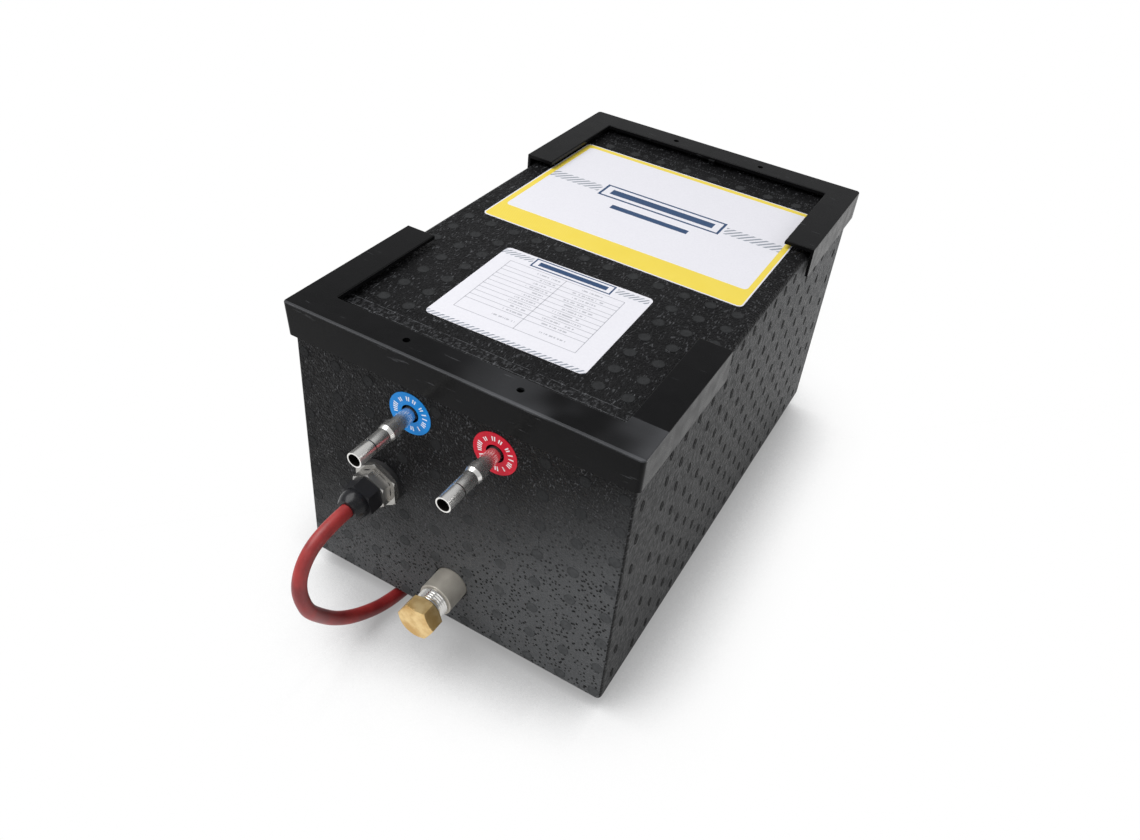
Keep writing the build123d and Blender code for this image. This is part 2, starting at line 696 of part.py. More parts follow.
thermostat_wire_y = thermostat_face_y - clip_thickness - tab_length / 2
element_wire_y = element_face_y - clip_thickness - tab_length / 2
above_tab_z = upper_tab_z + sleeve_half_thickness
below_tab_z = lower_tab_z - sleeve_half_thickness
over_z = above_tab_z + 3 * wire_diameter
link_z = below_tab_z - 3 * wire_diameter
live_start = core(90)
neutral_start = core(-150)
earth_start = core(-30)
first_bend_y = cable_end_y + 3 * wire_diameter
live_route = [live_start, (live_start[0], first_bend_y, live_start[2]),
              (entry_x + conduit_bore / 2, thermostat_wire_y, thermostat_z),
              (control_x - thermostat_diameter, thermostat_wire_y, over_z),
              (control_x, thermostat_wire_y, over_z + wire_diameter),
              (control_x, thermostat_wire_y, above_tab_z)]
wire_live = routed(live_route, wire_diameter)
wire_live += tab_sleeve(control_x, upper_tab_z, thermostat_face_y, False)

link_route = [(control_x, thermostat_wire_y, below_tab_z), (control_x, thermostat_wire_y, link_z),
              (safety_x, thermostat_wire_y, link_z), (safety_x, thermostat_wire_y, below_tab_z)]
link_wire = routed(link_route, wire_diameter)
link_wire += tab_sleeve(control_x, lower_tab_z, thermostat_face_y, False)
link_wire += tab_sleeve(safety_x, lower_tab_z, thermostat_face_y, False)

element_tab_x = element_tab_xs[1] + sleeve_half_thickness
outer_wire_x = element_shift + boss_diameter / 2 + 2 * wire_diameter
element_route = [(safety_x, thermostat_wire_y, above_tab_z), (safety_x, thermostat_wire_y, over_z),
                 (outer_wire_x, thermostat_wire_y, over_z),
                 (outer_wire_x, element_wire_y, element_z + boss_diameter / 2),
                 (outer_wire_x, element_wire_y, element_z), (element_tab_x, element_wire_y, element_z)]
element_wire = routed(element_route, wire_diameter)
element_wire += tab_sleeve(safety_x, upper_tab_z, thermostat_face_y, False)
element_wire += tab_sleeve(element_tab_xs[1], element_z, element_face_y, True)

neutral_tab_x = element_tab_xs[0] - sleeve_half_thickness
neutral_route = [neutral_start, (neutral_start[0], first_bend_y, neutral_start[2]),
                 (entry_x + conduit_bore / 2, thermostat_wire_y, element_z - boss_diameter / 3),
                 (earth_shift - boss_diameter / 4, element_wire_y, element_z - boss_diameter / 2),
                 (element_shift - boss_diameter / 2 - 2 * wire_diameter, element_wire_y,
                  element_z - wire_diameter),
                 (neutral_tab_x - 3 * wire_diameter, element_wire_y, element_z),
                 (neutral_tab_x, element_wire_y, element_z)]
wire_neutral = routed(neutral_route, wire_diameter)
wire_neutral += tab_sleeve(element_tab_xs[0], element_z, element_face_y, True)

ring_middle_y = (ring_front_y + ring_back_y) / 2
lug_x = earth_shift - earth_ring_diameter
earth_route = [earth_start, (earth_start[0], first_bend_y, earth_start[2]),
               ((entry_x + lug_x) / 2, ring_middle_y, earth_z + wire_diameter),
               (lug_x - wire_diameter, ring_middle_y, earth_z), (lug_x + wire_diameter, ring_middle_y, earth_z)]
wire_earth = routed(earth_route, wire_diameter)
wire_earth += ring_y(earth_ring_diameter, earth_stud_diameter + 2 * stud_fit, ring_front_y,
                     ring_back_y, earth_shift, earth_z)
wire_earth += box_between((lug_x, ring_front_y, earth_z - wire_diameter / 2),
                          (earth_shift - earth_stud_diameter / 2 - stud_fit, ring_back_y,
                           earth_z + wire_diameter / 2))

# Free stretch of the mains cable: limp, it bows forward, drops to the surface, runs back under
# the housing between two skids and comes out behind it
floor_z = cable_diameter / 2
coil_center_x = 0
coil_center_y = rear_y + coil_setback
coil_start_y = coil_center_y - cable_diameter
cable_route = [
    (entry_x, gland_mouth_y, entry_z),
    (entry_x, -247.2, entry_z),
    (-56.8, -263.5, 103.1),
    (-54.3, -273.4, 85.2),
    (-50, -271.3, 65.1),
    (-52.4, -261, 49),
    (-53.4, -246, 28.2),
    (-51.8, -227.5, 13.8),
    (-47.8, -205.3, 5.6),
    (-44.6, -181.5, floor_z),
    (-42, -145.5, floor_z),
    (-39.4, -85, floor_z),
    (-37.8, 5, floor_z),
    (-39, 95, floor_z),
    (-42, 165, floor_z),
    (-46.5, 225, floor_z),
    (-52.4, 268, floor_z),
    (coil_center_x - coil_radius, 300, floor_z),
    (coil_center_x - coil_radius, coil_start_y, floor_z),
]
cable_path = FilletPolyline(*cable_route, radius=bend_radii(cable_route))
mains_cable = swept(cable_path, cable_diameter)

# Coil: half circles that shrink by half a pitch each on the lower layer, one that climbs, and
# as many and one more that grow again on the upper layer
lower_radii = [coil_radius - index * coil_pitch / 2 for index in range(coil_inward_half_turns)]
climb_radius = lower_radii[-1] - coil_pitch / 4
upper_radii = lower_radii[::-1] + [coil_radius + coil_pitch / 2]
layer_height = cable_diameter + coil_layer_gap
half_circles = [(radius, 0) for radius in lower_radii]
half_circles.append((climb_radius, layer_height))
half_circles += [(radius, 0) for radius in upper_radii]
coil_x = coil_center_x - coil_radius
coil_z = floor_z
side = 1
coil_edges = [Line((coil_x, coil_start_y, coil_z), (coil_x, coil_center_y, coil_z))]
for radius, climb in half_circles:
    start = Vector(coil_x, coil_center_y, coil_z)
    finish = start + Vector(2 * radius * side, 0, climb)
    middle = (start + finish) / 2 + Vector(0, side * (finish - start).length / 2, 0)
    coil_edges.append(ThreePointArc(start, middle, finish))
    coil_x = finish.X
    coil_z = finish.Z
    side = -side
tail_start = (coil_x, coil_center_y + cable_diameter, coil_z)
coil_edges.append(Line((coil_x, coil_center_y, coil_z), tail_start))
coil_path = Wire(coil_edges)
cable_coil = swept(coil_path, cable_diameter)

# Tail from the coil to the plug, which lies on the surface
plug_z = plug_diameter / 2
tail_route = [
    tail_start,
    (tail_start[0], 366, tail_start[2]),
    (-66, 390, 17.2),
    (-74, 410, plug_z),
    (-86, 428, plug_z),
]
tail_path = FilletPolyline(*tail_route, radius=bend_radii(tail_route))
cable_tail = swept(tail_path, cable_diameter)

# Plug: a round body that tapers to its neck, two earth notches and two pins
plug_back = Vector(*tail_route[-1])
plug_turn = (plug_back - Vector(*tail_route[-2])).get_angle(Vector(0, 1, 0))
plug_place = Pos(*plug_back) * Rot(0, 0, plug_turn)
taper_end_y = plug_neck_length + plug_taper_length
plug_face_y = taper_end_y + plug_body_length
plug_radius = plug_diameter / 2
neck_radius = plug_neck_diameter / 2
plug_solid = turned([(0, 0), (neck_radius, 0), (neck_radius, plug_neck_length),
                     (plug_radius, taper_end_y), (plug_radius, plug_face_y), (0, plug_face_y)])
plug_solid = fillet(plug_solid.faces().sort_by(Axis.Y)[-1].edges(), plug_edge_radius)
for notch_side in (-1, 1):
    notch_x = notch_side * plug_radius
    plug_solid -= box_between(
        (notch_x - plug_notch_depth, taper_end_y, -plug_notch_width / 2),
        (notch_x + plug_notch_depth, plug_face_y + overrun, plug_notch_width / 2))
plug_body = plug_place * plug_solid
plug_pins = []
for pin_z in (-pin_spacing / 2, pin_spacing / 2):
    pin = bar_y(pin_diameter, plug_face_y, plug_face_y + pin_length, 0, pin_z)
    plug_pins.append(plug_place * fillet(pin.faces().sort_by(Axis.Y)[-1].edges(), pin_tip_radius))

nodes = {
    "foam_sleeve": foam_sleeve,
    "front_end_cap": front_end_cap,
    "rear_end_cap": rear_end_cap,
    "front_bracket": front_bracket,
    "rear_bracket": rear_bracket,
    "large_label": large_label,
    "small_label": small_label,
    "cold_disc": cold_disc,
    "hot_disc": hot_disc,
    "tank_shell": tank_shell,
    "tank_front_head": tank_front_head,
    "tank_rear_head": tank_rear_head,
    "cold_inlet_tube": cold_inlet_tube,
    "hot_outlet_tube": hot_outlet_tube,
    "drain_socket": drain_socket,
    "drain_nipple": drain_nipple,
    "drain_cap": drain_cap,
    "drain_seal": drain_seal,
    "conduit": conduit,
    "entry_gasket": entry_gasket,
    "entry_locknut": entry_locknut,
    "gland_adaptor": gland_adaptor,
    "gland_seal": gland_seal,
    "gland_washer": gland_washer,
    "gland_nut": gland_nut,
    "element_gasket": element_gasket,
    "heating_element": heating_element,
    "control_thermostat": control_thermostat,
    "safety_cutout": safety_cutout,
    "reset_button": reset_button,
    "thermostat_clip": thermostat_clip,
    "clip_stud": clip_stud,
    "clip_nut": clip_nut,
    "earth_stud": earth_stud,
    "earth_nuts": Compound(children=earth_nuts),
    "cable_inner": cable_inner,
    "wire_live": wire_live,
    "wire_neutral": wire_neutral,
    "wire_earth": wire_earth,
    "link_wire": link_wire,
    "element_wire": element_wire,
    "mains_cable": mains_cable,
    "cable_coil": cable_coil,
    "cable_tail": cable_tail,
    "plug_body": plug_body,
    "plug_pins": Compound(children=plug_pins),
}

os.makedirs("parts", exist_ok=True)
for name, shape in nodes.items():
    export_step(shape, f"parts/{name}.step")


# Figures to read: each cord's least bend, its tube's volume against section times length, and
# the least gap between the coil's loops
def least_gap(path, diameter):
    """The least clear distance of a tube to itself, past its own neighbouring stretch."""
    step = diameter / 4
    count = ceil(path.length / step)
    points = [path @ (index / count) for index in range(count + 1)]
    skip = ceil(pi * diameter / step)
    least = min((points[j] - points[i]).length
                for i in range(len(points)) for j in range(i + skip, len(points)))
    return least - diameter


section = pi * cable_diameter ** 2 / 4
cords = {"mains_cable": (cable_path, mains_cable), "cable_coil": (coil_path, cable_coil),
         "cable_tail": (tail_path, cable_tail)}
for name, (path, tube) in cords.items():
    print(name, "length", round(path.length, 1), "volume share",
          round(tube.volume / (section * path.length), 4))
print("cable radii", [round(radius, 1) for radius in bend_radii(cable_route)])
print("tail radii", [round(radius, 1) for radius in bend_radii(tail_route)])
print("coil radii", [round(radius, 1) for radius, climb in half_circles])
print("coil gap", round(least_gap(coil_path, cable_diameter), 2))
print("cable length", round(sum(path.length for path, tube in cords.values())
                            + cable_inner.volume / section, 1))
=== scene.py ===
import math
import bpy
from mathutils import Matrix, Vector
from mathutils.bvhtree import BVHTree


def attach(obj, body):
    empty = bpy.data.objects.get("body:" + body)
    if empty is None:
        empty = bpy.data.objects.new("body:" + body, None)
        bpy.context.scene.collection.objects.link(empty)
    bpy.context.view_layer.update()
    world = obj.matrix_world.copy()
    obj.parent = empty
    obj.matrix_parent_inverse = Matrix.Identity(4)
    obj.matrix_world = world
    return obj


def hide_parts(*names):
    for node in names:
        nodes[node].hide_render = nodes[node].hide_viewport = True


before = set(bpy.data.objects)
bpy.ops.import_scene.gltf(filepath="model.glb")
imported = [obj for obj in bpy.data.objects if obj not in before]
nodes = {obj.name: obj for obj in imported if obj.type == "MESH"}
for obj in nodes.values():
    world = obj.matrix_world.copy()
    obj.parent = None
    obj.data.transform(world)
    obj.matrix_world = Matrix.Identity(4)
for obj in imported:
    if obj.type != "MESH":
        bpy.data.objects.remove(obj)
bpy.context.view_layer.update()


# The pressure tank is a deep-drawn stainless shell with two pressed heads, welded at its rims.
# It is bare inside the foam: dull rolled steel with a faint straw tint from the welding heat.
class Flow:
    """A socket of a shader that reads like a number: + - * / and < > add Math nodes."""

    def __init__(self, shading, socket):
        self.shading = shading
        self.socket = socket

    def math(self, operation, first, second=0.0):
        return self.shading.node("ShaderNodeMath", {"operation": operation}, {0: first, 1: second})

    def __add__(self, other):
        return self.math("ADD", self, other)

    def __radd__(self, other):
        return self.math("ADD", other, self)

    def __sub__(self, other):
        return self.math("SUBTRACT", self, other)

    def __rsub__(self, other):
        return self.math("SUBTRACT", other, self)

    def __mul__(self, other):
        return self.math("MULTIPLY", self, other)

    def __rmul__(self, other):
        return self.math("MULTIPLY", other, self)

    def __truediv__(self, other):
        return self.math("DIVIDE", self, other)

    def __rtruediv__(self, other):
        return self.math("DIVIDE", other, self)

    def __gt__(self, other):
        return self.math("GREATER_THAN", self, other)

    def __lt__(self, other):
        return self.math("LESS_THAN", self, other)

    def part(self):
        return self.math("FRACT", self)

    def floor(self):
        return self.math("FLOOR", self)

    def size(self):
        return self.math("ABSOLUTE", self)

    def diagonal(self, other):
        return self.math("SQRT", self * self + other * other)

    def within(self, low, high):
        return (self > low) * (self < high)

    def fade(self, low, high, start=0.0, end=1.0):
        """A smooth step from start, at low and below, to end, at high and above."""
        inputs = {"Value": self, "From Min": low, "From Max": high, "To Min": start, "To Max": end}
        settings = {"interpolation_type": "SMOOTHSTEP"}
        return self.shading.node("ShaderNodeMapRange", settings, inputs)


class Shading:
    """The nodes of one shader tree. Each input is a number, a colour or a Flow."""

    def __init__(self, tree):
        self.tree = tree

    def feed(self, socket, value):
        if isinstance(value, Flow):
            self.tree.links.new(value.socket, socket)
        else:
            socket.default_value = value

    def node(self, kind, settings, inputs, output=0):
        node = self.tree.nodes.new(kind)
        for name, value in settings.items():
            setattr(node, name, value)
        for name, value in inputs.items():
            self.feed(node.inputs[name], value)
        return Flow(self, node.outputs[output])

    def mixed(self, share, first, second):
        """Sends a mix of two shaders to the tree's output."""
        mix = self.node("ShaderNodeMixShader", {}, {0: share, 1: first, 2: second})
        self.feed(self.tree.get_output_node("ALL").inputs["Surface"], mix)


def colour(red, green, blue):
    """The linear colour of a paint chip read as 0 to 255."""
    shares = [value / 255 for value in (red, green, blue)]
    linear = [s / 12.92 if s < 0.04045 else ((s + 0.055) / 1.055) ** 2.4 for s in shares]
    return (*linear, 1.0)


class Finish(Shading):
    """A surface finish: one principled shader and the nodes that vary it."""

    def __init__(self, name, **constants):
        self.material = bpy.data.materials.new(name)
        self.material.use_nodes = True
        super().__init__(self.material.node_tree)
        self.shader = self.tree.nodes["Principled BSDF"]
        self.put(**constants)
        self.place = self.node("ShaderNodeTexCoord", {}, {}, "Object")
        self.x, self.y, self.z = self.split(self.place)

    def put(self, **sockets):
        for name, value in sockets.items():
            self.feed(self.shader.inputs[name.replace("_", " ")], value)

    def split(self, vector):
        return [self.node("ShaderNodeSeparateXYZ", {}, {0: vector}, axis) for axis in range(3)]

    def join(self, x, y, z):
        return self.node("ShaderNodeCombineXYZ", {}, {0: x, 1: y, 2: z})

    def moved(self, rotation=(0, 0, 0), scale=(1, 1, 1)):
        inputs = {"Vector": self.place, "Rotation": rotation, "Scale": scale}
        return self.node("ShaderNodeMapping", {"vector_type": "POINT"}, inputs)

    def noise(self, scale, detail=3.0, vector=None):
        inputs = {"Vector": vector or self.place, "Scale": scale, "Detail": detail}
        return self.node("ShaderNodeTexNoise", {}, inputs)

    def cells(self, scale):
        return self.node("ShaderNodeTexVoronoi", {}, {"Vector": self.place, "Scale": scale})

    def chance(self, x, y, z):
        inputs = {"Vector": self.join(x, y, z)}
        return self.node("ShaderNodeTexWhiteNoise", {"noise_dimensions": "3D"}, inputs)

    def blend(self, share, first, second):
        inputs = {0: share, 6: first, 7: second}
        return self.node("ShaderNodeMix", {"data_type": "RGBA"}, inputs, 2)

    def relief(self, height, distance):
        return self.node("ShaderNodeBump", {}, {"Height": height, "Distance": distance})

    def dress(self, *names):
        for name in names:
            slots = nodes[name].material_slots
            for slot in slots:
                slot.material = self.material
            if not slots:
                nodes[name].data.materials.append(self.material)


def metal(name, light, dark, roughness, brushing=(1, 1, 1)):
    """A bare or plated metal: tone and gloss drift, and fine brushing catches the light."""
    finish = Finish(name, Metallic=0.86)
    lines = finish.noise(160.0, 4.0, finish.moved(scale=brushing))
    drift = finish.noise(45.0)
    finish.put(Base_Color=finish.blend(lines * 0.6 + drift * 0.4, dark, light),
               Roughness=drift.fade(0.3, 0.7, roughness * 0.8, roughness * 1.3),
               Normal=finish.relief(lines, 0.00004))
    return finish


tank_steel = metal("tank_steel", colour(196, 192, 184), colour(150, 145, 138), 0.36, (1, 0.05, 1))
tank_steel.dress("tank_shell", "tank_front_head", "tank_rear_head")

# The two water tubes are thin stainless pipe of 9.5 mm, rolled out to a bead and swelled to a
# plain 10 mm end for the hose. They come through the front head. Near the discs a painted
# reflection tints them red and blue; painted shade darkens a ring in the groove and the bore.
tube_shift = -0.0009
tube_spacing = 0.0601
tube_height = 0.1804
bore_radius = 0.0041
disc_reflection_front = -0.208
disc_reflection_rear = -0.196
line_front = -0.2319
line_rear = -0.2311
pipe_steel = Finish("pipe_steel", Metallic=0.93)
turning = pipe_steel.noise(900.0, 3.0, pipe_steel.moved(scale=(0.04, 1, 0.04)))
smear = pipe_steel.noise(70.0)
# Painted reflection: near the discs the steel is tinted red and blue, as if mirroring them.
near_disc_reflection = pipe_steel.y.fade(disc_reflection_front, disc_reflection_rear)
# Painted shade: a dark ring where the groove runs round the tube near its mouth.
groove_and_its_shade = 1.0 - pipe_steel.y.within(line_front, line_rear)
disc_reflection_tint = pipe_steel.blend(pipe_steel.x < 0.0, colour(214, 150, 158), colour(140, 178, 214))
bright = pipe_steel.blend(smear, colour(226, 224, 220), colour(250, 249, 246))
# Painted shade: the inside of the bore is darkened.
off_axis = (pipe_steel.x - tube_shift).size() - tube_spacing / 2
shaded_bore = off_axis.diagonal(pipe_steel.z - tube_height) < bore_radius
groove_shaded = pipe_steel.blend(groove_and_its_shade, colour(90, 88, 86), bright)
with_disc_reflection = pipe_steel.blend(near_disc_reflection * 0.5, groove_shaded, disc_reflection_tint)
pipe_steel.put(Base_Color=pipe_steel.blend(shaded_bore, with_disc_reflection, colour(84, 81, 78)),
               Roughness=smear.fade(0.3, 0.7, 0.21, 0.29),
               Normal=pipe_steel.relief(turning * 0.05 + groove_and_its_shade, 0.00005))
pipe_steel.dress("cold_inlet_tube", "hot_outlet_tube")

# The drain is a bead-blasted steel socket welded to the tank, with a chromed nipple in it.
# The nipple's thread stays bare where the brass cap has not yet covered it.
socket_steel = Finish("socket_steel", Metallic=0.45)
blast = socket_steel.noise(2600.0, 2.0)
clouds = socket_steel.noise(120.0)
socket_tone = blast * 0.5 + clouds * 0.5
socket_steel.put(Base_Color=socket_steel.blend(socket_tone, colour(158, 152, 142),
                                               colour(212, 207, 196)),
                 Roughness=clouds.fade(0.3, 0.7, 0.42, 0.56),
                 Normal=socket_steel.relief(blast, 0.00008))
socket_steel.dress("drain_socket")
chrome = metal("thread_chrome", colour(232, 231, 228), colour(168, 166, 162), 0.12)
chrome.dress("drain_nipple")

# The heating element is a sheathed rod on a hexagon head, sealed by a flat fibre gasket.
# Limescale has left a dull bloom on the nickelled sheath.
element_steel = metal("element_nickel", colour(190, 186, 170), colour(128, 124, 112), 0.4)
element_steel.dress("heating_element")


def moulded(name, light, dark, roughness):
    """Moulded rubber or plastic: a fine spark grain, a drifting tone and a few scuffs."""
    finish = Finish(name)
    grain = finish.noise(700.0, 3.0)
    drift = finish.noise(38.0)
    scuffs = finish.noise(210.0, 5.0, finish.moved(scale=(1, 0.16, 1))).fade(0.62, 0.74)
    tone = drift.fade(0.3, 0.7, 0.1, 0.8) + scuffs * 0.5
    finish.put(Base_Color=finish.blend(tone, dark, light),
               Roughness=grain.fade(0.3, 0.7, roughness * 0.82, roughness * 1.2),
               Normal=finish.relief(grain, 0.00005))
    return finish


seal_rubber = moulded("seal_rubber", colour(44, 43, 44), colour(24, 24, 25), 0.62)
seal_rubber.dress("element_gasket", "entry_gasket", "gland_seal", "drain_seal")

# Both thermostats are pressed into a spring clip on the head: black phenolic cups with tabs.
# A stud and nut hold the clip, and an earth stud with two nuts stands beside it.
case_plastic = moulded("thermostat_case", colour(48, 44, 42), colour(26, 23, 22), 0.38)
case_plastic.dress("control_thermostat", "safety_cutout")
button_plastic = moulded("reset_button_red", colour(205, 40, 36), colour(150, 22, 22), 0.34)
button_plastic.dress("reset_button")
zinc = metal("zinc_plate", colour(206, 208, 205), colour(158, 160, 162), 0.3)
zinc.dress("thermostat_clip", "clip_stud", "clip_nut", "earth_stud", "earth_nuts")

# The wires are PVC-sheathed copper in the three mains colours, pushed on the tabs with
# sleeves. The link between the thermostats and the element's wire are brown too.
wires_by_sheath = {
    "wire_live_sheath": (colour(118, 70, 40), colour(84, 46, 24), ("wire_live",)),
    "wire_neutral_sheath": (colour(46, 92, 178), colour(24, 60, 130), ("wire_neutral",)),
    "wire_earth_sheath": (colour(86, 158, 60), colour(54, 118, 36), ("wire_earth",)),
    "link_sheath": (colour(118, 70, 40), colour(84, 46, 24), ("link_wire", "element_wire")),
}
for sheath_name, (light, dark, wires) in wires_by_sheath.items():
    moulded(sheath_name, light, dark, 0.36).dress(*wires)

# The cable entry is a steel locknut on a rubber gasket, a turned adaptor, a plastic gland and
# the rigid conduit behind it. The gland's nut has a glossy dome in front of its matte hexagon.
dome_rear = -0.2196
locknut_steel = metal("locknut_steel", colour(200, 198, 194), colour(134, 132, 128), 0.16)
locknut_steel.dress("entry_locknut")
adaptor_steel = metal("adaptor_steel", colour(206, 204, 200), colour(140, 138, 136), 0.26)
adaptor_steel.dress("gland_adaptor")
gland = Finish("gland_plastic", Specular_IOR_Level=0.22)
gland_grain = gland.noise(1500.0, 2.0)
on_dome = gland.y < dome_rear
gland.put(Base_Color=gland.blend(gland.noise(60.0), colour(18, 18, 20), colour(38, 38, 41)),
          Roughness=gland_grain.fade(0.3, 0.7, 0.42, 0.56) - on_dome * 0.27,
          Normal=gland.relief(gland_grain, 0.00003))
gland.dress("gland_nut", "conduit")
washer_plastic = moulded("slip_washer", colour(226, 224, 214), colour(196, 192, 180), 0.3)
washer_plastic.dress("gland_washer")

# The housing is moulded bead foam, a sleeve closed by two end caps. Its skin shows fused beads
# as a pebbled texture with pale flecks and painted glints, pits low on the front and sides, a
# painted grey sheen low on the front and on the sides, and painted highlights on lines near its
# seams.
front_y = -0.1955
rear_y = 0.1955
side_x = 0.1175
top_z = 0.218
skin_depth = 0.0003
strip_front = -0.1678
strip_rear = -0.1605
dotted_front = 0.1567
dotted_rear = 0.1575
dot_pitch = 0.0021


def floor_sheen_share(finish):
    """0 to 1 towards the lower right, where the foam's front is pitted and has a painted sheen."""
    return (finish.x * 0.5 - finish.z).fade(-0.16, -0.05)


foam = Finish("bead_foam", Specular_IOR_Level=0.11)
front_face = foam.y < front_y + skin_depth
top_face = foam.z > top_z - skin_depth
side_face = foam.x.size() > side_x - skin_depth
beads = foam.cells(520.0)
fine_beads = foam.cells(1300.0)
streaks = foam.noise(940.0, 3.0, foam.moved(rotation=(0.35, 0.2, 0.5), scale=(1, 0.32, 0.55)))
patches = foam.noise(26.0, 4.0)
# Painted sheen: a grey haze low on the front and on the sides, lighter towards the upper rear of
# the sides, stands for the reflection of the floor.
lower_right_sheen = floor_sheen_share(foam) * front_face
pits = (foam.cells(330.0) < 0.29) * foam.noise(90.0).fade(0.32, 0.42)
pits = pits * (lower_right_sheen + side_face * 0.8)
# The pale flecks are partly the foam's own and partly painted glints.
flecks_and_glints = streaks.fade(0.54, 0.66) * (1.0 - lower_right_sheen * 0.9) * foam.noise(170.0).fade(0.38, 0.56)
flecks_and_glints = flecks_and_glints * (1.0 - side_face * 0.8)
skin = foam.blend(patches.fade(0.35, 0.65), colour(8, 8, 9), colour(17, 17, 18))
upper_rear_sheen = (foam.y * 0.9 + foam.z).fade(0.04, 0.34)
side_sheen = side_face * (upper_rear_sheen * 0.45 + 0.12)
painted_sheen = foam.blend(lower_right_sheen * 0.84 + side_sheen, skin, colour(90, 91, 92))
coarse_strip = top_face * foam.y.within(strip_front, strip_rear) * foam.cells(330.0).fade(0.5, 0.2)
# Painted highlights: bright lines along the seams and a dotted ridge on the top.
seam_highlight_lines = foam.y.within(strip_front - 0.0004, strip_front + 0.0001)
seam_highlight_lines = seam_highlight_lines + foam.y.within(strip_rear - 0.0001, strip_rear + 0.0004)
dotted_ridge_highlight = foam.y.within(dotted_front, dotted_rear) * ((foam.x / dot_pitch).part() < 0.5)
painted_edge_highlights = top_face * (seam_highlight_lines + dotted_ridge_highlight) * foam.noise(220.0).fade(0.35, 0.55)
pale_and_highlight_share = flecks_and_glints * 0.42 + coarse_strip * 0.16 + painted_edge_highlights * 0.4
flecked_and_highlighted = foam.blend(pale_and_highlight_share, painted_sheen, colour(120, 121, 124))
foam.put(Base_Color=foam.blend(pits, flecked_and_highlighted, colour(6, 6, 7)),
         Roughness=foam.noise(240.0).fade(0.35, 0.65, 0.38, 0.52) - flecks_and_glints * 0.1,
         Normal=foam.relief(beads * 0.7 + fine_beads * 0.25 - pits * 0.8 + flecks_and_glints * 0.8, 0.0009))
foam.dress("foam_sleeve", "front_end_cap", "rear_end_cap")

# The mould's steam vents leave small rings in the foam, with a dot in the middle: round ones on
# the ends and the top, upright slots on the sides. They lie only where the foam is bare.
vent_radius = 0.0039
vent_clearance = 1.35
vent_flatness = 0.0012
foam_nodes = ("foam_sleeve", "front_end_cap", "rear_end_cap")
cord_nodes = ("mains_cable", "cable_coil", "cable_tail", "plug_body", "plug_pins")


def surface_lookup():
    """A search tree over every fixed piece, with the name of the piece for each face."""
    corners = []
    faces = []
    owners = []
    for name, part in nodes.items():
        if name in cord_nodes:
            continue
        start = len(corners)
        corners += [vertex.co.copy() for vertex in part.data.vertices]
        for polygon in part.data.polygons:
            faces.append([start + index for index in polygon.vertices])
            owners.append(name)
    return BVHTree.FromPolygons(corners, faces), owners


surface, owners = surface_lookup()


def vent_seats(candidates, inward):
    """The candidates whose whole vent lies on bare foam, with the foam's own normal."""
    inward = Vector(inward)
    across = inward.orthogonal().normalized()
    rim = [Matrix.Rotation(math.radians(turn), 3, inward) @ across for turn in range(0, 360, 60)]
    offsets = [Vector()] + [direction * vent_radius * vent_clearance for direction in rim]
    seats = []
    for candidate in candidates:
        hits = []
        for offset in offsets:
            start = Vector(candidate) - inward * 0.05 + offset
            place, normal, face, distance = surface.ray_cast(start, inward)
            hits.append((place, normal, owners[face] if face is not None else ""))
        names = {name for place, normal, name in hits}
        if len(names) == 1 and names <= set(foam_nodes):
            depths = [(place - Vector(candidate)).dot(inward) for place, normal, name in hits]
            if max(depths) - min(depths) < vent_flatness:
                seats.append((hits[0][0], hits[0][1], names.pop()))
    return seats


def spread(first, step, count):
    return [first + step * index for index in range(count)]


upper_rows = (0.2098, 0.191, 0.1705, 0.1505, 0.13)
lower_rows = (0.1098, 0.0888, 0.068, 0.0465, 0.025)
front_row = (0.179, 0.1525, 0.1275, 0.104, 0.0798, 0.0525, 0.028)
rear_row = (0.1755, 0.15, 0.1275, 0.1025, 0.0805, 0.054, 0.027)
side_grid = [(y, z) for z in upper_rows for y in spread(-0.1488, 0.0201, 16)]
side_grid += [(y, z) for z in lower_rows for y in spread(-0.153, 0.0202, 16)]
side_grid += [(-0.183, z) for z in front_row]
side_grid += [(0.1735, z) for z in rear_row]
end_grid = [(x, z) for z in spread(0.0186, 0.0245, 8) for x in spread(-0.1118, 0.02484, 10)]
top_grid = [(x, y) for y in spread(-0.1495, 0.0198, 15) for x in spread(-0.105, 0.01909, 12)]
top_grid += [(x, y) for y in (0.1472, 0.1722) for x in spread(-0.108, 0.024, 10)]
seats = vent_seats([(side_x, y, z) for y, z in side_grid], (-1, 0, 0))
seats += vent_seats([(-side_x, y, z) for y, z in side_grid], (1, 0, 0))
seats += vent_seats([(x, front_y, z) for x, z in end_grid], (0, 1, 0))
seats += vent_seats([(x, rear_y, z) for x, z in end_grid], (0, -1, 0))
seats += vent_seats([(x, y, top_z) for x, y in top_grid], (0, 0, -1))


